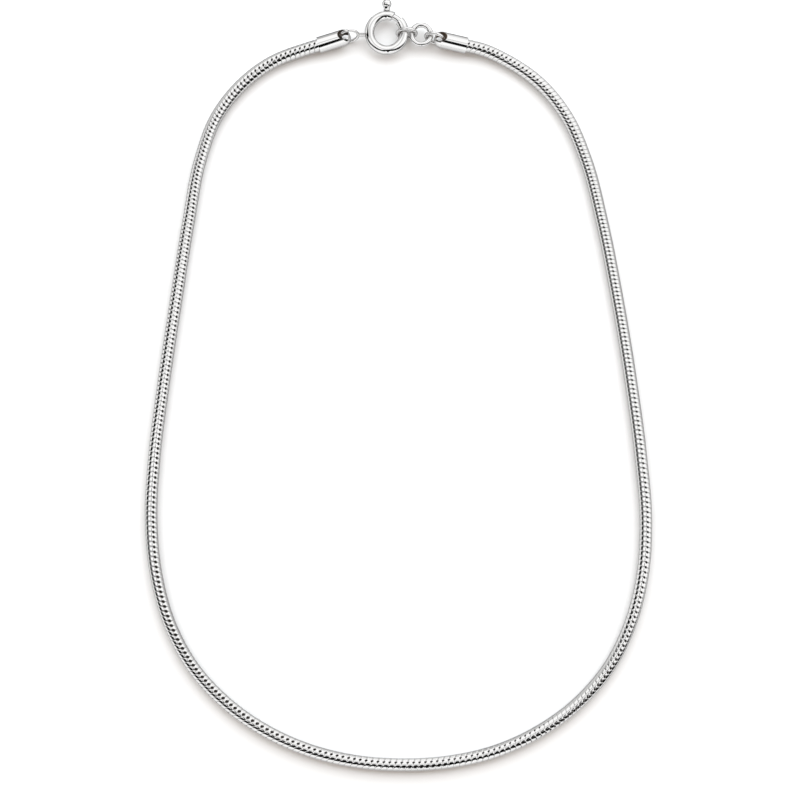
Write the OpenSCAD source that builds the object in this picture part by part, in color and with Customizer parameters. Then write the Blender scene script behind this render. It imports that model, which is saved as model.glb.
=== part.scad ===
// Round snake chain necklace with a bolt ring clasp, closed and lying flat.
// Millimetres. The surface that it lies on is Z = 0, and +Y runs from the loop's far end to the clasp.

/* [Chain] */
// Outside diameter of the round snake chain
chain_d = 2.8; // [2.4:0.1:3.2]

/* [End caps] */
// Metal of the cap round the chain
cap_wall = 0.35; // [0.25:0.05:0.5]
// Gap between the chain and the cap's bore, on the radius
cap_fit = 0.05; // [0.03:0.01:0.1]
// Depth of the bore that holds the chain
cap_bore = 4.2; // [3.5:0.1:5]
// Metal between the bore's end and the cross hole
cap_web = 0.5; // [0.4:0.1:1]
// Diameter of the cross hole near the closed end
cap_hole_d = 2.4; // [2.3:0.05:2.5]
// Metal between the cross hole and the closed end
cap_tip = 0.25; // [0.2:0.05:0.4]
// Rounding of the closed end
cap_round = 1.6; // [1.5:0.05:1.7]
// Lean of the cross hole from upright, in degrees
cap_roll = 18; // [16:1:20]
// Rise of each cap from the chain to its closed end, in degrees
cap_rise = 4; // [3:0.5:5]

/* [Clasp ring] */
// Outside diameter of the bolt ring
ring_od = 9.75; // [9:0.25:11]
// Diameter of the tube that it is bent from
ring_tube_d = 2.05; // [1.9:0.05:2.2]
// Wall of that tube
ring_wall = 0.27; // [0.24:0.01:0.3]
// Angle of the gap's lower side, in degrees from +X
gap_start = 43.7; // [42:0.1:46]
// Angle of the gap's upper side, where it crosses the tube's middle
gap_end = 69.8; // [66:0.1:71]
// Heading of the cut on the gap's upper side
gap_cut_heading = 57.7; // [56:0.1:68]

/* [Bolt] */
// Running gap between the bolt and the tube that it slides in
bolt_gap = 0.12; // [0.08:0.01:0.14]
// How far the closed bolt's end reaches into the socket past the gap, in degrees
bolt_reach = 8; // [5:1:10]
// Turn that opens the gap, in degrees
bolt_travel = 36; // [32:1:38]
// Diameter of the pin that joins the bolt to its trigger
pin_d = 0.8; // [0.7:0.05:0.9]
// Gap on each side of the pin in its slot
pin_gap = 0.1; // [0.08:0.01:0.12]
// Diameter of the trigger's ball
ball_d = 2.05; // [1.8:0.05:2.3]
// Distance from the clasp ring to the ball's far side
trigger_len = 2.6; // [2.4:0.1:2.9]

/* [Eye and links] */
// Wire of the soldered eye
eye_wire = 0.65; // [0.55:0.05:0.7]
// Lean of the eye from upright, in degrees
eye_lean = 26; // [22:1:28]
// Length of the two neck wires between the eye and the clasp ring
neck_len = 1.2; // [1:0.05:1.4]
// Thickness of each neck wire
neck_wire = 0.5; // [0.44:0.02:0.56]
// Gap between the two neck wires
neck_gap = 0.08; // [0.06:0.01:0.12]
// Wire of the two small links
link_wire = 0.75; // [0.6:0.05:0.8]
// Lean of the small links from upright, in degrees
link_lean = 18; // [15:1:20]
// Outside diameter of the flat jump ring
jump_od = 5.4; // [5.2:0.1:6]
// Wire of the flat jump ring
jump_wire = 1.1; // [0.9:0.05:1.15]
// Free play of what a small link holds
link_play = 0.25; // [0.2:0.05:0.35]

/* [Hidden] */

// Route of the chain's centre line over the surface, chosen by hand, from the left cap round to the right cap.
// Each row is X and Y; the chain lies on the surface at all of them.
route_points = [
    [-28.2, 72.0], [-34.6, 67.3], [-40.4, 60.0], [-44.2, 50.0], [-46.7, 37.0], [-49.4, 20.0], [-52.4, 0.0],
    [-54.4, -16.0], [-55.1, -30.0], [-54.0, -42.0], [-50.8, -53.5], [-45.6, -63.0], [-38.1, -71.0],
    [-29.1, -77.2], [-19.1, -81.5], [-9.1, -83.8], [0.9, -84.5], [10.9, -83.9], [20.9, -81.7], [30.9, -77.3],
    [39.7, -71.0], [47.1, -62.4], [51.8, -52.6], [54.4, -42.0], [55.1, -30.0], [54.0, -16.0], [51.9, 0.0],
    [48.6, 20.0], [45.2, 37.0], [41.8, 50.0], [37.4, 60.0], [31.1, 67.6], [24.8, 72.0]
];
// Place in the list of the point where the two halves meet
route_middle = 16;
// Heading of each cap from its mouth to its closed end
cap_heading_left = 16.5;
cap_heading_right = 167.5;
// Middle of the clasp ring
ring_x = -2.6;
ring_y = 78.4;
// Drop of each small piece's middle below the clasp ring's middle, along -Y
eye_drop = 0.69;
catch_drop = 0.1;
jump_drop = 0.42;
// Turn of the eye and of the link at the right cap, which follow the chain down on each side
eye_turn = 8;
cap_link_turn = -14;

chain_sides = 12;
chain_steps = 2;
round_fn = 64;

cap_od = chain_d + 2 * (cap_fit + cap_wall);
cap_len = cap_bore + cap_web + cap_hole_d + cap_tip;
cap_hole_at = cap_len - cap_tip - cap_hole_d / 2;
chain_in = cap_bore - 0.3;
chain_straight = 3;

ring_tube_r = ring_tube_d / 2;
ring_r = ring_od / 2 - ring_tube_r;
hollow_r = ring_tube_r - ring_wall;
bolt_r = hollow_r - bolt_gap;
trigger_at = 90;
bolt_start = gap_start - bolt_reach;
bolt_tail = trigger_at + 58;
hollow_start = bolt_start - 5;
hollow_end = bolt_tail + bolt_travel + 20;
pin_angle = atan((pin_d / 2 + pin_gap) / ring_r);

// A small link is just wide enough for the clasp ring's tube and the jump ring's wire, or for the cap's end.
link_inner_d = max(ring_tube_d + jump_wire + link_play, cap_od - 0.3);
link_r = (link_inner_d + link_wire) / 2;
link_z = link_r * cos(link_lean) + link_wire / 2;
eye_r = (cap_od - 0.3 + eye_wire) / 2;
ring_at = [ring_x, ring_y, link_z];

jump_at = ring_at + [ring_od / 2 + link_play / 4 + jump_od / 2, -jump_drop, 0];
catch_at = [ring_x + (ring_r - ring_tube_r + jump_at[0] - ring_x - jump_od / 2 + jump_wire) / 2,
    ring_y - catch_drop, link_z];
cap_link_at = jump_at + [jump_od / 2 - jump_wire - link_play + link_inner_d / 2, -0.75, 0];
eye_at = ring_at + [-ring_od / 2 - neck_len - eye_wire / 2 - eye_r * cos(eye_turn), -eye_drop, 0];

// The neck wires run into the eye's nearest side.
neck_y = eye_r * sin(eye_turn) - eye_drop;

// A cap is placed by its cross hole, which the eye or the link runs through.
hole_left = eye_at + [-eye_r + 0.82, -0.29, -0.12];
hole_right = cap_link_at + [link_r - 0.77, -0.31, -0.1];

function cap_direction(heading) = [cos(heading) * cos(cap_rise), sin(heading) * cos(cap_rise), sin(cap_rise)];
mouth_left = hole_left - cap_hole_at * cap_direction(cap_heading_left);
mouth_right = hole_right - cap_hole_at * cap_direction(cap_heading_right);

// The whole route: straight out of the left cap, down to the surface, round the loop and into the right cap.
route = concat(
    [for (step = [chain_in, 0, -chain_straight]) mouth_left + step * cap_direction(cap_heading_left)],
    [for (point = route_points) [point[0], point[1], chain_d / 2]],
    [for (step = [-chain_straight, 0, chain_in]) mouth_right + step * cap_direction(cap_heading_right)]
);
middle = route_middle + 3;
last = len(route) - 1;

// A smooth curve through the route's points, with each tangent weighted by the distances to its neighbours,
// and level wherever the chain lies on the surface
function span(i) = norm(route[i + 1] - route[i]);
function slope(i) = (route[i + 1] - route[i]) / span(i);
function mean_slope(i) = (slope(i - 1) * span(i) + slope(i) * span(i - 1)) / (span(i - 1) + span(i));
function tangent(i) =
    i == 0 ? slope(0) :
    i == last ? slope(last - 1) :
    i < 3 || i > last - 3 ? mean_slope(i) :
    [mean_slope(i)[0], mean_slope(i)[1], 0];
function place(i, t) =
    (2 * t * t * t - 3 * t * t + 1) * route[i]
    + (t * t * t - 2 * t * t + t) * span(i) * tangent(i)
    + (3 * t * t - 2 * t * t * t) * route[i + 1]
    + (t * t * t - t * t) * span(i) * tangent(i + 1);
function heading(i, t) =
    (6 * t * t - 6 * t) * (route[i] - route[i + 1])
    + (3 * t * t - 4 * t + 1) * span(i) * tangent(i)
    + (3 * t * t - 2 * t) * span(i) * tangent(i + 1);
function unit(v) = v / norm(v);

// One ring of points across the chain
function chain_ring(i, t) =
    let (along = unit(heading(i, t)), side = unit(cross([0, 0, 1], along)), up = cross(along, side))
    [for (k = [0 : chain_sides - 1])
        place(i, t) + chain_d / 2 * (cos(k * 360 / chain_sides) * side + sin(k * 360 / chain_sides) * up)];

// The chain's outer form between two of the route's points, as one swept solid
module chain_run(from, to) {
    rings = concat(
        [for (i = [from : to - 1], step = [0 : chain_steps - 1]) chain_ring(i, step / chain_steps)],
        [chain_ring(to - 1, 1)]
    );
    count = len(rings);
    polyhedron(
        points = [for (ring = rings, point = ring) point],
        faces = concat(
            [[for (k = [0 : chain_sides - 1]) k]],
            [for (j = [0 : count - 2], k = [0 : chain_sides - 1], half = [0, 1])
                let (a = j * chain_sides + k, b = j * chain_sides + (k + 1) % chain_sides)
                half == 0 ? [a, a + chain_sides, b] : [b, a + chain_sides, b + chain_sides]],
            [[for (k = [chain_sides - 1 : -1 : 0]) (count - 1) * chain_sides + k]]
        )
    );
}

// A round wire bent into a ring, flat in X and Y
module wire_ring(middle_r, wire_d) {
    rotate_extrude($fn = round_fn)
        translate([middle_r, 0])
            circle(d = wire_d, $fn = round_fn / 2);
}

// Part of such a ring, from one angle through a turn
module wire_arc(middle_r, wire_d, from, turn) {
    rotate([0, 0, from])
        rotate_extrude(angle = turn, $fn = round_fn)
            translate([middle_r, 0])
                circle(d = wire_d, $fn = round_fn / 2);
}

// A cap from its open mouth along +X, with its cross hole leaning by roll
module cap(roll) {
    rotate([0, 90, 0])
        difference() {
            rotate_extrude($fn = round_fn) {
                square([cap_od / 2, cap_len - cap_round]);
                square([cap_od / 2 - cap_round, cap_len]);
                intersection() {
                    translate([cap_od / 2 - cap_round, cap_len - cap_round])
                        circle(r = cap_round, $fn = round_fn);
                    square([cap_od, cap_len + cap_round]);
                }
            }
            translate([0, 0, -1])
                cylinder(d = chain_d + 2 * cap_fit, h = cap_bore + 1, $fn = round_fn);
            translate([0, 0, cap_hole_at])
                rotate([0, 0, roll])
                    rotate([0, 90, 0])
                        cylinder(d = cap_hole_d, h = 2 * cap_od, center = true, $fn = round_fn);
        }
}

module chain_left() {
    color("gainsboro") chain_run(0, middle);
}

module chain_right() {
    color("gainsboro") chain_run(middle, last);
}

module cap_left() {
    color("silver")
        translate(mouth_left)
            rotate([0, -cap_rise, cap_heading_left])
                cap(-cap_roll);
}

module cap_right() {
    color("silver")
        translate(mouth_right)
            rotate([0, -cap_rise, cap_heading_right])
                cap(cap_roll);
}

// The space inside the bolt ring's tube, the gap and the trigger's slot
module ring_hollow() {
    far = ring_od;
    corner = ring_r * [cos(gap_end), sin(gap_end)];
    cut = [cos(gap_cut_heading), sin(gap_cut_heading)];
    near = [cos(gap_start), sin(gap_start)];
    wire_arc(ring_r, 2 * hollow_r, hollow_start, hollow_end - hollow_start);
    linear_extrude(height = 2 * ring_tube_d, center = true)
        polygon([ring_od / 8 * near, far * near, corner + far / 2 * cut, corner - ring_r * 0.55 * cut]);
    rotate([0, 0, trigger_at - pin_angle])
        rotate_extrude(angle = bolt_travel + 2 * pin_angle, $fn = round_fn)
            translate([ring_r, -pin_d / 2 - pin_gap])
                square([ring_tube_d, pin_d + 2 * pin_gap]);
}

module clasp_ring() {
    color("silver")
        translate(ring_at) {
            difference() {
                wire_ring(ring_r, ring_tube_d);
                ring_hollow();
            }
            translate(eye_at - ring_at)
                rotate([90 - eye_lean, 0, eye_turn])
                    wire_ring(eye_r, eye_wire);
            for (side = [-0.5, 0.5])
                translate([-ring_od / 2 + ring_wall * 0.6, neck_y + side * (neck_wire + neck_gap), 0])
                    rotate([0, -90, 0])
                        cylinder(d = neck_wire, h = neck_len + ring_wall * 0.6 + eye_wire / 2, $fn = round_fn / 2);
        }
}

// The trigger's outline from the bolt's middle outwards, turned round the pin's axis: pin, foot, stem and ball
module trigger() {
    foot = ring_od / 2 + 0.1;
    neck = foot + 0.3;
    ball_at = ring_od / 2 + trigger_len - ball_d / 2;
    rotate([0, 90, 0])
        rotate_extrude($fn = round_fn) {
            translate([0, ring_r])
                square([pin_d / 2, foot - ring_r + 0.1]);
            polygon([[0, foot], [ball_d * 0.35, foot], [ball_d * 0.29, neck], [ball_d * 0.45, ball_at - ball_d * 0.1],
                [0, ball_at - ball_d * 0.1]]);
            intersection() {
                translate([0, ball_at])
                    circle(d = ball_d, $fn = round_fn);
                translate([0, ball_at - ball_d])
                    square([ball_d, 2 * ball_d]);
            }
        }
}

module bolt() {
    color("silver")
        translate(ring_at) {
            wire_arc(ring_r, 2 * bolt_r, bolt_start, bolt_tail - bolt_start);
            rotate([0, 0, trigger_at])
                trigger();
        }
}

module catch_link() {
    color("silver")
        translate(catch_at)
            rotate([90 - link_lean, 0, 0])
                wire_ring(link_r, link_wire);
}

module jump_ring() {
    color("silver")
        translate(jump_at)
            wire_ring((jump_od - jump_wire) / 2, jump_wire);
}

module cap_link() {
    color("silver")
        translate(cap_link_at)
            rotate([90 - link_lean, 0, cap_link_turn])
                wire_ring(link_r, link_wire);
}

chain_left();
chain_right();
cap_left();
cap_right();
clasp_ring();
bolt();
catch_link();
jump_ring();
cap_link();
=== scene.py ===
import math

import bmesh
import bpy
import numpy as np
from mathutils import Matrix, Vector


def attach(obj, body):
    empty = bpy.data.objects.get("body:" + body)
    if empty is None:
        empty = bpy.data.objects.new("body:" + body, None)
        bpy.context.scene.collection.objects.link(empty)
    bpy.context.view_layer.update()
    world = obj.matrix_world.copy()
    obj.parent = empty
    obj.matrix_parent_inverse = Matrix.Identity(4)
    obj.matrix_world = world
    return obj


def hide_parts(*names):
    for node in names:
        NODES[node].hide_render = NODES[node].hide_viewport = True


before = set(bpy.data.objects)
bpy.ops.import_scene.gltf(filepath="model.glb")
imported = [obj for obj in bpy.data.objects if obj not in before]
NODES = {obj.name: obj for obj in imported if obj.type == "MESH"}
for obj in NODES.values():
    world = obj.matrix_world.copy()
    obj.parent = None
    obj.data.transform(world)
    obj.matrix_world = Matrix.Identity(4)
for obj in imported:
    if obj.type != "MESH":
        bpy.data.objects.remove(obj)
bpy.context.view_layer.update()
MM = 0.001

# Camera: straight above the loop, with the clasp at the top of the picture. Lengths are in millimetres, and
# the picture's width is that of the plane through the chain's middle.
PICTURE_WIDTH = 178.24
PICTURE_MIDDLE = (0.334, -3.23)
CAMERA_HEIGHT = 430.0
SENSOR_WIDTH = 36.0
CHAIN_D = 2.8
camera_data = bpy.data.cameras.new("camera")
camera = bpy.data.objects.new("camera", camera_data)
bpy.context.scene.collection.objects.link(camera)
bpy.context.scene.camera = camera
camera.location = (PICTURE_MIDDLE[0] * MM, PICTURE_MIDDLE[1] * MM, CAMERA_HEIGHT * MM)
camera_data.sensor_width = SENSOR_WIDTH
camera_data.lens = SENSOR_WIDTH * (CAMERA_HEIGHT - CHAIN_D / 2) / PICTURE_WIDTH
camera_data.clip_start = 0.01
camera_data.clip_end = 20.0


# Caps: the way each runs from its mouth and how its cross hole leans, in degrees, and places in millimetres
CAP_HEADINGS = {"left": 16.5, "right": 167.5}
CAP_RISE = 4.0
CAP_HOLE_AT = 5.9
CAP_HOLE_R = 1.2
CAP_HOLE_LEAN = {"left": 18.0, "right": -18.0}
MOUTHS = {"left": (-17.754, 75.748, 1.817), "right": (15.139, 75.646, 1.837)}


def cap_direction(side):
    """The way a cap runs from its mouth to its closed end."""
    heading, rise = math.radians(CAP_HEADINGS[side]), math.radians(CAP_RISE)
    return np.array([math.cos(heading) * math.cos(rise), math.sin(heading) * math.cos(rise), math.sin(rise)])


def cap_hole(side):
    """The middle of a cap's cross hole and the way the hole runs."""
    heading, rise = math.radians(CAP_HEADINGS[side]), math.radians(CAP_RISE)
    lean = math.radians(CAP_HOLE_LEAN[side])
    x, y, z = -math.cos(lean) * math.sin(rise), math.sin(lean), math.cos(lean) * math.cos(rise)
    turned_x = x * math.cos(heading) - y * math.sin(heading)
    turned_y = x * math.sin(heading) + y * math.cos(heading)
    return np.array(MOUTHS[side]) + CAP_HOLE_AT * cap_direction(side), (turned_x, turned_y, z)


# Materials: noise scales are per metre, and lengths in millimetres. A rim is the tint of the metal's edges.
# The
# dark tones are painted shade: in the chain's grooves, small holes and under side, on the clasp where it is
# closed in, and inside the caps' cross holes.
CHAIN_COLOR = (0.90, 0.895, 0.89)
CLASP_COLOR = (0.92, 0.915, 0.91)
DARKER_TONE = 0.985
TONE_NOISE = 350.0
GLOSS_NOISE = 900.0
SCRATCH_NOISE = 2500.0
SCRATCH_STRETCH = (1.0, 0.15, 1.0)
SCRATCH_STRENGTH = 0.02
SCRATCH_DEPTH = 0.02
NOISE_RANGE = (0.3, 0.7)
# How much rougher the metal gets where shade is painted on
SHADE_ROUGHER = 0.7
# Painted shade on the clasp and caps from ambient occlusion: how far the occlusion looks, in millimetres, the
# occlusion values over which the shade fades out, and its most
OCCLUSION_SHADE_REACH = 3.0
OCCLUSION_SHADE_RANGE = (0.15, 0.60)
OCCLUSION_SHADE_MOST = 0.9
# Painted shade in each cap's cross hole: full nearer its line than the first, none beyond the second
HOLE_WALL = (CAP_HOLE_R + 0.005, CAP_HOLE_R + 0.03)
EDGE_ROUNDING = 0.03
CHAIN_ROUGHNESS = (0.06, 0.10)
CLASP_ROUGHNESS = (0.05, 0.08)
CHAIN_RIM = 0.75
CLASP_RIM = 0.3
CAP_RIM = 0.5
# Deepest painted shade on the chain, in its grooves, small holes and under side
CHAIN_SHADE_TONE = (0.022, 0.018, 0.015)
# Deepest painted shade on the clasp, where it faces the floor, in holes and where pieces touch
CLASP_SHADE_TONE = (0.040, 0.030, 0.023)
# Deepest painted shade inside each cap's cross hole, darker in the left cap than in the right
HOLE_SHADE_TONES = {"left": (0.060, 0.040, 0.026), "right": (0.155, 0.112, 0.080)}


def add_node(tree, kind, inputs, **settings):
    """A node with its settings, and a value or a link for each of the inputs given by name or number."""
    node = tree.nodes.new(kind)
    for setting, value in settings.items():
        setattr(node, setting, value)
    for socket, value in inputs.items():
        if isinstance(value, bpy.types.NodeSocket):
            tree.links.new(value, node.inputs[socket])
        else:
            node.inputs[socket].default_value = value
    return node


def calculate(tree, operation, *values):
    return add_node(tree, "ShaderNodeMath", dict(enumerate(values)), operation=operation).outputs[0]


def ramp(tree, value, low, high, at_low, at_high, shape="LINEAR"):
    """A value that goes from at_low to at_high while the given one goes from low to high."""
    ends = {"Value": value, "From Min": low, "From Max": high, "To Min": at_low, "To Max": at_high}
    return add_node(tree, "ShaderNodeMapRange", ends, interpolation_type=shape).outputs["Result"]


def new_material(name):
    material = bpy.data.materials.new(name)
    material.use_nodes = True
    tree = material.node_tree
    tree.nodes.clear()
    shader = add_node(tree, "ShaderNodeBsdfPrincipled", {})
    add_node(tree, "ShaderNodeOutputMaterial", {"Surface": shader.outputs[0]})
    return material, tree, shader


def own_coordinates(tree):
    return add_node(tree, "ShaderNodeTexCoord", {}).outputs["Object"]


def noise_at(tree, scale, detail, stretch=None):
    """Noise over the object's own coordinates, in metres, stretched along one axis if asked."""
    place = own_coordinates(tree)
    if stretch is not None:
        place = add_node(tree, "ShaderNodeMapping", {"Vector": place, "Scale": stretch}).outputs["Vector"]
    noise = add_node(tree, "ShaderNodeTexNoise", {"Vector": place, "Scale": scale, "Detail": detail})
    return noise.outputs["Fac"]


def painted_chain_shade(tree):
    """Painted shade on the chain, as its mesh carries it: in its grooves and small holes, and on its under
    side.
    """
    return add_node(tree, "ShaderNodeAttribute", {}, attribute_name="painted_shade").outputs["Fac"]


def painted_occlusion_shade(tree):
    """Painted shade from ambient occlusion: where the metal faces the floor, in holes and where pieces touch.
    """
    near = add_node(tree, "ShaderNodeAmbientOcclusion", {"Distance": OCCLUSION_SHADE_REACH * MM}, samples=6)
    return ramp(tree, near.outputs["AO"], *OCCLUSION_SHADE_RANGE, OCCLUSION_SHADE_MOST, 0.0)


def painted_occlusion_or_hole_shade(side):
    """The same painted shade for a cap, with painted shade on the wall of its cross hole too."""
    middle, way = cap_hole(side)

    def shares(tree):
        both = {0: own_coordinates(tree), 1: [value * MM for value in middle]}
        offset = add_node(tree, "ShaderNodeVectorMath", both, operation="SUBTRACT")
        both = {0: offset.outputs[0], 1: way}
        across = add_node(tree, "ShaderNodeVectorMath", both, operation="CROSS_PRODUCT")
        away = add_node(tree, "ShaderNodeVectorMath", {0: across.outputs[0]}, operation="LENGTH")
        hole_shade = ramp(tree, away.outputs["Value"], HOLE_WALL[0] * MM, HOLE_WALL[1] * MM, 1.0, 0.0)
        return calculate(tree, "MAXIMUM", hole_shade, painted_occlusion_shade(tree))

    return shares


def polished_silver(name, color, roughness, rim, shade_tone, shade_nodes, edge=EDGE_ROUNDING):
    """Bright silver: faint cloudy differences in tone and gloss, and hairline scratches. Shade is painted on
    where
    the given shade nodes say: there the metal turns towards the given shade tone, less metallic and rougher."""
    material, tree, shader = new_material(name)
    tone = add_node(tree, "ShaderNodeMixRGB", {
        "Fac": noise_at(tree, TONE_NOISE, 2.0),
        "Color1": (*[c * DARKER_TONE for c in color], 1.0),
        "Color2": (*color, 1.0),
    })
    shade_share = shade_nodes(tree)
    base = add_node(tree, "ShaderNodeMixRGB", {
        "Fac": shade_share,
        "Color1": tone.outputs["Color"],
        "Color2": (*shade_tone, 1.0),
    })
    gloss = ramp(tree, noise_at(tree, GLOSS_NOISE, 3.0), *NOISE_RANGE, *roughness)
    scratches = add_node(tree, "ShaderNodeBump", {
        "Strength": SCRATCH_STRENGTH,
        "Distance": SCRATCH_DEPTH * MM,
        "Height": noise_at(tree, SCRATCH_NOISE, 4.0, SCRATCH_STRETCH),
    })
    if edge:
        rounding = add_node(tree, "ShaderNodeBevel", {"Radius": edge * MM}, samples=4)
        tree.links.new(rounding.outputs["Normal"], scratches.inputs["Normal"])
    shader.inputs["Specular Tint"].default_value = (rim, rim, rim, 1.0)
    tree.links.new(base.outputs["Color"], shader.inputs["Base Color"])
    tree.links.new(ramp(tree, shade_share, 0.0, 1.0, 1.0, 0.0), shader.inputs["Metallic"])
    tree.links.new(calculate(tree, "MULTIPLY_ADD", shade_share, SHADE_ROUGHER, gloss), shader.inputs["Roughness"])
    tree.links.new(scratches.outputs["Normal"], shader.inputs["Normal"])
    return material


CHAIN_SILVER = polished_silver("chain_silver", CHAIN_COLOR, CHAIN_ROUGHNESS, CHAIN_RIM, CHAIN_SHADE_TONE,
                               painted_chain_shade, edge=0.0)
CLASP_SILVER = polished_silver("clasp_silver", CLASP_COLOR, CLASP_ROUGHNESS, CLASP_RIM, CLASP_SHADE_TONE, painted_occlusion_shade)
METALS = {}
for cap_side, hole_shade_tone in HOLE_SHADE_TONES.items():
    METALS["cap_" + cap_side] = polished_silver("cap_silver_" + cap_side, CLASP_COLOR, CLASP_ROUGHNESS,
                                                CAP_RIM, hole_shade_tone, painted_occlusion_or_hole_shade(cap_side))
for node_name, cad_node in NODES.items():
    cad_node.data.materials.clear()
    cad_node.data.materials.append(METALS.get(node_name, CLASP_SILVER))
    for polygon in cad_node.data.polygons:
        polygon.use_smooth = True


# Chain: the route's points in millimetres, as the CAD has them, from the left cap round to the right one
ROUTE_POINTS = [
    (-28.2, 72.0), (-34.6, 67.3), (-40.4, 60.0), (-44.2, 50.0), (-46.7, 37.0), (-49.4, 20.0), (-52.4, 0.0),
    (-54.4, -16.0), (-55.1, -30.0), (-54.0, -42.0), (-50.8, -53.5), (-45.6, -63.0), (-38.1, -71.0),
    (-29.1, -77.2), (-19.1, -81.5), (-9.1, -83.8), (0.9, -84.5), (10.9, -83.9), (20.9, -81.7), (30.9, -77.3),
    (39.7, -71.0), (47.1, -62.4), (51.8, -52.6), (54.4, -42.0), (55.1, -30.0), (54.0, -16.0), (51.9, 0.0),
    (48.6, 20.0), (45.2, 37.0), (41.8, 50.0), (37.4, 60.0), (31.1, 67.6), (24.8, 72.0),
]
ROUTE_MIDDLE = 16
CHAIN_IN = 3.9
CHAIN_STRAIGHT = 3.0
CAP_STEPS = (CHAIN_IN, 0.0, -CHAIN_STRAIGHT)
CURVE_STEPS = 120


def chain_route():
    """The centre line as the CAD sweeps it: points every few hundredths of a millimetre, their distance along
    it, and that of the loop's lowest point."""
    left = [np.array(MOUTHS["left"]) + step * cap_direction("left") for step in CAP_STEPS]
    right = [np.array(MOUTHS["right"]) + step * cap_direction("right") for step in CAP_STEPS]
    flat = [np.array([x, y, CHAIN_D / 2]) for x, y in ROUTE_POINTS]
    points = np.array(left + flat + right[::-1])
    span = np.linalg.norm(np.diff(points, axis=0), axis=1)
    slope = np.diff(points, axis=0) / span[:, None]
    last = len(points) - 1
    tangent = np.zeros_like(points)
    tangent[0], tangent[last] = slope[0], slope[-1]
    for i in range(1, last):
        tangent[i] = (slope[i - 1] * span[i] + slope[i] * span[i - 1]) / (span[i - 1] + span[i])
        if len(left) <= i <= last - len(right):
            tangent[i][2] = 0.0
    line = []
    for i in range(last):
        t = np.linspace(0, 1, CURVE_STEPS, endpoint=False)[:, None]
        ends = (2 * t ** 3 - 3 * t ** 2 + 1) * points[i] + (3 * t ** 2 - 2 * t ** 3) * points[i + 1]
        bends = (t ** 3 - 2 * t ** 2 + t) * tangent[i] + (t ** 3 - t ** 2) * tangent[i + 1]
        line.append(ends + span[i] * bends)
    line.append(points[last:])
    line = np.concatenate(line)
    along = np.r_[0.0, np.cumsum(np.linalg.norm(np.diff(line, axis=0), axis=1))]
    return line, along, along[(len(left) + ROUTE_MIDDLE) * CURVE_STEPS]


LINE, ALONG, MIDDLE_AT = chain_route()
HEADING = np.gradient(LINE, axis=0)
HEADING /= np.linalg.norm(HEADING, axis=1)[:, None]
LENGTH = ALONG[-1]

# How the links change along the chain: distances from the left cap's mouth, each with its value
# Pitch of the links, in millimetres
PITCHES = [(0, 1.16), (16, 1.08), (24, 1.0), (33, 0.92), (62, 0.92), (72, 1.0), (95, 1.02), (110, 1.1),
           (145, 1.14), (160, 1.1), (176, 1.28), (205, 1.34), (228, 1.3), (242, 1.22), (262, 1.15),
           (300, 1.1), (322, 1.02), (340, 0.93), (372, 0.88), (390, 1.0), (405, 1.08), (417, 1.14)]
# Turn of the columns of small holes round the chain, from the top towards the loop's outer side, in degrees
TURNS = [(0, 16), (8, 14), (16, 8), (29, -8), (42, -10), (52, -36), (62, -44), (78, -39), (95, -37),
         (111, -33), (125, -24), (136, -15), (147, -17), (158, -22), (170, -28), (185, -33), (218, -32),
         (230, -30), (240, -45), (249, -68), (257, -79), (272, -79), (287, -76), (307, -81), (356, -88),
         (376, -98), (392, -98), (405, -76), (417, -77)]
# Half length of the small holes, as a part of the pitch
HOLES = [(0, 0.19), (40, 0.22), (60, 0.25), (125, 0.25), (142, 0.28), (172, 0.28), (190, 0.22), (232, 0.18),
         (255, 0.21), (290, 0.20), (320, 0.19), (400, 0.19), (417, 0.18)]
# How wide the grooves between the links stand open
GROOVES = [(0, 0.4), (40, 0.5), (55, 0.8), (120, 0.8), (150, 0.6), (185, 0.3), (240, 0.3), (265, 0.4),
           (290, 0.6), (330, 0.5), (417, 0.4)]


def at(distance, column):
    return np.interp(distance, ALONG, column)


def profile(distance, table):
    return np.interp(distance - CHAIN_IN, [row[0] for row in table], [row[1] for row in table])


def rise(value, start, width):
    """0 up to the start, and 1 from a width beyond it on."""
    return np.clip((value - start) / width, 0, 1)


# How many links lie before each fine step along the chain
FINE_STEPS = 12001
FINE = np.linspace(0, LENGTH, FINE_STEPS)
FINE_PITCH = profile(FINE, PITCHES)
COUNT = np.r_[0.0, np.cumsum(np.diff(FINE) / ((FINE_PITCH[1:] + FINE_PITCH[:-1]) / 2))]
END_PITCH = 1.15

# The mesh's columns round the chain, close together near the four folds, where the links bend at a small hole
FOLD_ANGLE = 90
FOLDS = 360 // FOLD_ANGLE
FROM_FOLD = [0, 5, 10, 14, 21, 32, 45, 58, 69, 76, 80, 85]
COLUMN_ANGLES = np.radians([fold * FOLD_ANGLE + angle for fold in range(FOLDS) for angle in FROM_FOLD])
COLUMNS = len(COLUMN_ANGLES)
HALF_FOLD = math.pi / FOLDS
OFF_FOLD = np.degrees(np.abs((COLUMN_ANGLES + HALF_FOLD) % (2 * HALF_FOLD) - HALF_FOLD))

# The mesh's rows along a link: from the seam to its middle, and back to the next seam as in a mirror
LINK_ROWS = [(row, False) for row in (0, 1, 2, 3, 4)] + [(row, True) for row in (4, 3, 2, 1)]
LINKS_PER_TURN = 2

# The links made beyond each cut, and how far from a cut's middle the mesh is cut, in millimetres
SPARE_LINKS = 3
CUT_REACH = 14.0

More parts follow.
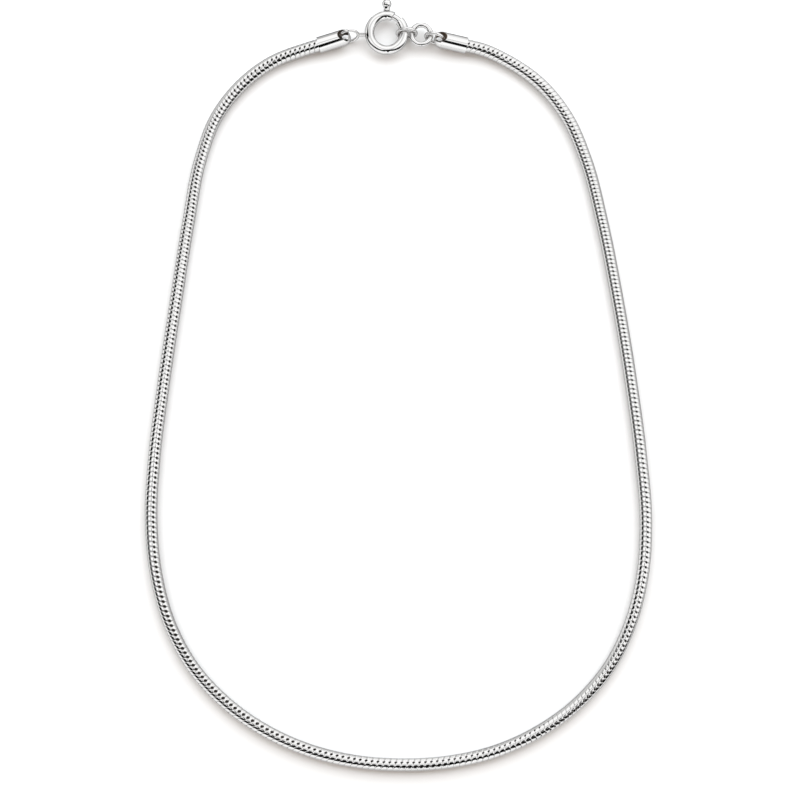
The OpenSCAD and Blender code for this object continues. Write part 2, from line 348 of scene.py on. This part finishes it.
# A link's edges beside a seam, in millimetres: how far from it the rows lie and how far below the chain's
# surface, each with what an open groove adds, and how much painted shade darkens the metal there. HOLE_LEAST
# is the least half length that counts as a hole. HOLE_WIDTH is half of a hole's width in degrees, for a half
# length of one pitch.
ROW_STEPS = [(0.014, 0.032), (0.034, 0.052), (0.08, 0.05)]
HOLE_DEEP = 0.42
GROOVE_DEEP = 0.18
EDGE_DROP = (0.05, 0.04)
ROUND_DROPS = (0.014, 0.003)
HOLE_LEAST = 0.05
HOLE_WIDTH = 56
GROOVE_SHADE = 0.85
EDGE_SHADE = (0.25, 0.45)

# Painted shade on the chain's under side, where the floor keeps the light off, in degrees from the top: its
# start and softness, and then how dark the painted shade gets
SHADED_UNDER_SIDE = (66, 22)
UNDER_SIDE_SHADE = 0.5

# Its shoulders, where the small holes are shorter: their start, end and softness, in degrees from the top
SHOULDER_START = 40
SHOULDER_END = 95
SHOULDER_SOFT = 12
SHOULDER_LESS = 0.6

# Its left-facing parts, where the grooves stand open less: the way out's part to the right, and its softness
FACING_LEFT = (-0.15, 0.4)
GROOVE_LEAST = 0.35


def frame_at(distance):
    """The centre line's points and the ways up and outwards there."""
    centre = np.stack([at(distance, LINE[:, k]) for k in range(3)], -1)
    # Past the ends the chain runs on straight, so that the cut there is clean.
    under, over = np.clip(distance, None, 0), np.clip(distance - LENGTH, 0, None)
    centre += under[:, None] * HEADING[0] + over[:, None] * HEADING[-1]
    along = np.stack([at(distance, HEADING[:, k]) for k in range(3)], -1)
    along /= np.linalg.norm(along, axis=1)[:, None]
    outer = np.cross(along, [0.0, 0.0, 1.0])
    outer /= np.linalg.norm(outer, axis=1)[:, None]
    return centre, np.cross(outer, along), outer


def columns_at(distance):
    """The centre line's point and the way out to the chain's surface for each column, given its distance."""
    centre, up, outer = frame_at(distance)
    angle = COLUMN_ANGLES + np.radians(profile(distance, TURNS))
    return centre, np.cos(angle)[:, None] * up + np.sin(angle)[:, None] * outer


def from_top(distance):
    """How far round from the chain's top each column lies, in degrees."""
    return np.abs((np.degrees(COLUMN_ANGLES) + profile(distance, TURNS) + 180) % 360 - 180)


def seam_at(number):
    """How far along the chain a seam lies by its number at each column. Past the ends the pitch is even."""
    past_ends = np.clip(number, None, 0) + np.clip(number - COUNT[-1], 0, None)
    return np.interp(number, COUNT, FINE) + past_ends * END_PITCH


def link_rows(number):
    """One link's rows, from its seam, which runs round the chain at a slant, to the next. Each has its
    distance along the chain, how far it lies below the surface and how much painted shade darkens it, at each
    column."""
    seam = seam_at(number - LINKS_PER_TURN * COLUMN_ANGLES / (2 * math.pi))
    pitch = profile(seam, PITCHES)
    top_angle = from_top(seam)
    past_start = rise(top_angle, SHOULDER_START, SHOULDER_SOFT)
    shoulder = past_start * rise(SHOULDER_END - top_angle, 0, SHOULDER_SOFT)
    share = profile(seam, HOLES) * (1 - SHOULDER_LESS * shoulder)
    hole = np.sqrt(np.clip(1 - (OFF_FOLD / (HOLE_WIDTH * share)) ** 2, 0, 1)) * share * pitch
    to_right = columns_at(seam)[1][:, 0]
    wide = profile(seam, GROOVES) * (GROOVE_LEAST + (1 - GROOVE_LEAST) * rise(to_right, *FACING_LEFT))
    in_hole = hole > HOLE_LEAST
    none = np.zeros(COLUMNS)
    steps = [none] + [hole + least + more * wide for least, more in ROW_STEPS]
    steps.append((steps[-1] + pitch / 2) / 2)
    drops = [np.where(in_hole, HOLE_DEEP, GROOVE_DEEP), EDGE_DROP[0] + EDGE_DROP[1] * wide]
    drops += [none + ROUND_DROPS[0], none + ROUND_DROPS[1], none]
    row_shades = [np.where(in_hole, 1.0, GROOVE_SHADE), np.where(in_hole, 1.0, EDGE_SHADE[0] + EDGE_SHADE[1] * wide)]
    row_shades += [none, none, none]
    rows = []
    for k, mirrored in LINK_ROWS:
        distance = seam + pitch - steps[k] if mirrored else seam + steps[k]
        rows.append((distance, drops[k], row_shades[k]))
    return rows


def chain_faces(rows):
    """Faces between the rows and columns. The last column meets the first one of the links a turn earlier."""
    faces = []
    rows_per_turn = LINKS_PER_TURN * len(LINK_ROWS)
    for row in range(rows - 1):
        for column in range(COLUMNS):
            here = row * COLUMNS + column
            beside = here + 1
            if column == COLUMNS - 1:
                beside = (row - rows_per_turn) * COLUMNS
            if beside >= 0:
                faces.append((here, beside, beside + COLUMNS, here + COLUMNS))
    return faces


def cut_and_close(mesh, start, end):
    """Cuts the chain's mesh square at its start and end, closes it there and smooths all but the rims."""
    work = bmesh.new()
    work.from_mesh(mesh)
    for distance, sign in ((start, -1.0), (end, 1.0)):
        place = Vector([at(distance, LINE[:, k]) * MM for k in range(3)])
        normal = Vector([at(distance, HEADING[:, k]) for k in range(3)]) * sign
        near = [vert for vert in work.verts if (vert.co - place).length < CUT_REACH * MM]
        edges = {edge for vert in near for edge in vert.link_edges}
        faces = {face for vert in near for face in vert.link_faces}
        bmesh.ops.bisect_plane(work, geom=[*near, *edges, *faces], plane_co=place, plane_no=normal, dist=1e-8,
                               clear_outer=True)
    loose = [vert for vert in work.verts if not vert.link_faces]
    bmesh.ops.delete(work, geom=loose, context="VERTS")
    rims = [edge for edge in work.edges if edge.is_boundary]
    bmesh.ops.holes_fill(work, edges=rims, sides=0)
    bmesh.ops.recalc_face_normals(work, faces=work.faces)
    for face in work.faces:
        face.smooth = True
    for edge in rims:
        edge.smooth = False
    work.to_mesh(mesh)
    work.free()


def chain_piece(name, start, end, node):
    """One half of the chain: nested links that run round it at a slant, with a groove between each two and
    four columns of small holes where the links bend."""
    first = math.floor(np.interp(start, FINE, COUNT)) - SPARE_LINKS
    final = math.ceil(np.interp(end, FINE, COUNT)) + SPARE_LINKS
    points = []
    painted_shade = []
    for number in range(first, final):
        for distance, drop, row_shade in link_rows(number):
            centre, outward = columns_at(distance)
            points.append(centre + (CHAIN_D / 2 - drop)[:, None] * outward)
            # Painted shade: a row's share from its groove or hole, or from the under side, whichever is
            # darker
            under_shade = rise(from_top(distance), *SHADED_UNDER_SIDE)
            painted_shade.append(np.maximum(row_shade, under_shade * UNDER_SIDE_SHADE))
    mesh = bpy.data.meshes.new(name)
    mesh.from_pydata((np.concatenate(points) * MM).tolist(), [], chain_faces(len(points)))
    attribute = mesh.attributes.new("painted_shade", "FLOAT", "POINT")
    attribute.data.foreach_set("value", np.concatenate(painted_shade).astype(np.float32))
    cut_and_close(mesh, start, end)
    mesh.materials.append(CHAIN_SILVER)
    piece = bpy.data.objects.new(name, mesh)
    bpy.context.scene.collection.objects.link(piece)
    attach(piece, "necklace")
    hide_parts(node)


chain_piece("snake_chain_left", 0.0, MIDDLE_AT, "chain_left")
chain_piece("snake_chain_right", MIDDLE_AT, LENGTH, "chain_right")


# Floor: a pale square, with half of its width in metres
FLOOR_REACH = 3.0
FLOOR_COLOR = (0.93, 0.93, 0.93, 1.0)
FLOOR_CORNERS = [(x * FLOOR_REACH, y * FLOOR_REACH, 0.0) for x, y in ((-1, -1), (1, -1), (1, 1), (-1, 1))]
floor_mesh = bpy.data.meshes.new("floor")
floor_mesh.from_pydata(FLOOR_CORNERS, [], [(0, 1, 2, 3)])
floor = bpy.data.objects.new("floor", floor_mesh)
bpy.context.scene.collection.objects.link(floor)
floor_material, floor_tree, floor_shader = new_material("pale_floor")
floor_shader.inputs["Base Color"].default_value = FLOOR_COLOR
floor_shader.inputs["Roughness"].default_value = 0.9
floor_shader.inputs["Specular IOR Level"].default_value = 0.0
floor_mesh.materials.append(floor_material)
floor.visible_glossy = False


# Light: two large soft lamps beyond the clasp and light all round. The metal mirrors a white studio, with a
# dark arc and a dark bar before it, a faint grey cloud above and the table that the necklace lies on.
WHITE_LEVEL = 1.08
DARKEST = 0.996
AMBIENT_COLOR = (0.67, 0.6, 0.545, 1.0)
AMBIENT_LEVEL = 0.86
LAMP_PLACE = (440, 594, 660)
LAMP_TARGET = (0, -20, 0)
LAMP_D = 1060
LAMP_COLOR = (0.885, 0.95, 1.0)
LAMP_WATTS = {"left": 7.0, "right": 8.8}

# The dark arc by the direction round from straight in front, where left is negative: its middle from straight
# up and half of its width, in degrees, and how dark it is
ARC = [(-180, 92, 10, 0), (-165, 90, 12, 0.2), (-150, 88, 14, 0.3), (-138, 82, 15, 0.35), (-127, 72, 17, 0.4),
       (-116, 57, 20, 0.7), (-106, 48, 22, 1), (-99, 44, 24, 1), (-95, 54, 23, 1), (-89, 68, 21, 1),
       (-82, 73, 21, 0.93), (-70, 65, 21, 1), (-58, 48, 22, 1), (-48, 43, 21, 1), (-36, 40, 20, 1),
       (-26, 36, 18, 1), (-15, 32, 21, 1), (-8, 31, 20, 1), (-4.5, 25, 13, 1), (-1.5, 27, 15, 1),
       (1.5, 36, 28, 1), (6.5, 35, 26, 1), (9.5, 28, 16, 1), (14, 27, 16, 1), (24, 37, 22, 1),
       (33, 46, 24, 1), (45, 63, 28, 1), (60, 84, 22, 0.95), (75, 96, 15, 0.5), (88, 98, 12, 0.15),
       (180, 92, 10, 0)]

# The arc's edges: where each starts and ends, as a part of the arc's half width
ARC_INNER_EDGE = (0.6, 1.45)
ARC_OUTER_EDGE = (0.85, 1.12)

# The dark bar and the grey cloud: how far each one's middle is to the right and forward of straight above, in
# degrees, each with half of the size that way, and where its edge starts and ends, as a part of that squared
BAR = {"sideways": 1.5, "half_width": 7.0, "forward": 18.5, "half_length": 19.5}
BAR_EDGE = (0.6, 1.35)
CLOUD = {"sideways": 0.0, "half_width": 36.0, "forward": -14.0, "half_length": 9.5}
CLOUD_EDGE = (0.2, 1.3)
CLOUD_LEVEL = 0.68

# The table as the metal shows it, by the same direction: just below the horizon, and near the piece
TABLE = [(-180, 1.0, 0.75), (-172, 0.92, 0.60), (-163, 0.48, 0.22), (-155, 0.70, 0.32), (-140, 0.72, 0.34),
         (-120, 0.62, 0.40), (-100, 0.84, 0.60), (-45, 0.84, 0.60), (-14, 0.82, 0.62), (0, 0.62, 0.55),
         (14, 0.82, 0.62), (45, 0.80, 0.55), (78, 1.0, 0.40), (88, 0.92, 0.36), (97, 0.55, 0.26),
         (112, 0.55, 0.28), (122, 0.80, 0.36), (132, 0.95, 0.45), (155, 0.92, 0.42), (167, 0.66, 0.28),
         (174, 0.92, 0.60), (180, 1.0, 0.75)]

# Where the room goes over into the far table, and that into the near one, in degrees from straight up
HORIZON = (64, 98)
NEARER = (104, 128)

world = bpy.data.worlds.new("studio")
bpy.context.scene.world = world
world.use_nodes = True
studio = world.node_tree
studio.nodes.clear()


def compute(operation, *values):
    return calculate(studio, operation, *values)


def smooth(value, low, high, at_low, at_high):
    return ramp(studio, value, low, high, at_low, at_high, "SMOOTHSTEP")


def by_direction(rows):
    """Up to three values by the direction round from straight in front: rows of degrees and the values."""
    turn = compute("ADD", compute("MULTIPLY", around, 0.5 / math.pi), 0.5)
    node = add_node(studio, "ShaderNodeValToRGB", {0: turn})
    stops = node.color_ramp.elements
    for row in rows[1:-1]:
        stops.new((row[0] + 180) / 360)
    for row, stop in zip(rows, stops):
        stop.color = (*(*row[1:], 0.0, 0.0)[:3], 1.0)
    parts = add_node(studio, "ShaderNodeSeparateColor", {0: node.outputs["Color"]})
    return parts.outputs[:len(rows[0]) - 1]


def from_spot(sideways, half_width, forward, half_length):
    """How far a direction is from an oval spot's middle, squared, and 1 at the spot's rim."""
    parts = []
    for side, middle, half in ((dx, sideways, half_width), (toward, forward, half_length)):
        off = compute("SUBTRACT", compute("ARCTAN2", side, dz), math.radians(middle))
        share = compute("DIVIDE", off, math.radians(half))
        parts.append(compute("MULTIPLY", share, share))
    return compute("ADD", *parts)


coordinate = add_node(studio, "ShaderNodeTexCoord", {})
dx, dy, dz = add_node(studio, "ShaderNodeSeparateXYZ", {0: coordinate.outputs["Generated"]}).outputs
toward = compute("MULTIPLY", dy, -1.0)
polar = compute("ARCCOSINE", dz)
around = compute("ARCTAN2", dx, toward)

# The dark arc, with a soft inner edge and a harder outer one, and the bar that runs up to its middle
arc_middle, arc_half, arc_dark = by_direction([(row[0], row[1] / 180, row[2] / 180, row[3]) for row in ARC])
beyond_middle = compute("SUBTRACT", polar, compute("MULTIPLY", arc_middle, math.pi))
beyond = compute("DIVIDE", beyond_middle, compute("MULTIPLY", arc_half, math.pi))
inner_edge = smooth(compute("MULTIPLY", beyond, -1.0), *ARC_INNER_EDGE, 1.0, 0.0)
outer_edge = smooth(beyond, *ARC_OUTER_EDGE, 1.0, 0.0)
arc = compute("MULTIPLY", compute("MULTIPLY", inner_edge, outer_edge), arc_dark)
bar = smooth(from_spot(**BAR), *BAR_EDGE, 1.0, 0.0)
dark_share = compute("MULTIPLY", compute("MAXIMUM", arc, bar), DARKEST)

# The faint grey cloud almost straight above, a little towards the clasp
cloud = smooth(from_spot(**CLOUD), *CLOUD_EDGE, CLOUD_LEVEL, 1.0)

# The white room, which goes over into the table at the horizon
far_table, near_table = by_direction(TABLE)
room = smooth(polar, *np.radians(HORIZON).tolist(), 1.0, far_table)
below = smooth(polar, *np.radians(NEARER).tolist(), 0.0, 1.0)
white = add_node(studio, "ShaderNodeMix", {0: below, 2: room, 3: near_table}).outputs[0]
clouded = compute("MULTIPLY", compute("MULTIPLY", white, WHITE_LEVEL), cloud)
reflected = add_node(studio, "ShaderNodeBackground", {
    "Color": (1.0, 1.0, 1.0, 1.0),
    "Strength": compute("MULTIPLY", clouded, compute("SUBTRACT", 1.0, dark_share)),
})
ambient = add_node(studio, "ShaderNodeBackground", {"Color": AMBIENT_COLOR, "Strength": AMBIENT_LEVEL})
rays = add_node(studio, "ShaderNodeLightPath", {})
choice = add_node(studio, "ShaderNodeMixShader", {
    0: rays.outputs["Is Glossy Ray"],
    1: ambient.outputs[0],
    2: reflected.outputs[0],
})
add_node(studio, "ShaderNodeOutputWorld", {"Surface": choice.outputs[0]})


def lamp(side, sign):
    """A round lamp on one side of the loop."""
    data = bpy.data.lights.new("lamp_" + side, "AREA")
    data.shape = "DISK"
    data.size = LAMP_D * MM
    data.energy = LAMP_WATTS[side]
    data.color = LAMP_COLOR
    lamp_object = bpy.data.objects.new("lamp_" + side, data)
    bpy.context.scene.collection.objects.link(lamp_object)
    place = Vector((sign * LAMP_PLACE[0], LAMP_PLACE[1], LAMP_PLACE[2]))
    lamp_object.location = place * MM
    lamp_object.rotation_mode = "QUATERNION"
    lamp_object.rotation_quaternion = (Vector(LAMP_TARGET) - place).to_track_quat("-Z", "Y")
    lamp_object.visible_glossy = False


lamp("left", -1)
lamp("right", 1)

bpy.context.scene.view_settings.view_transform = "Standard"
bpy.context.scene.view_settings.look = "None"
bpy.context.scene.view_settings.exposure = 0.0
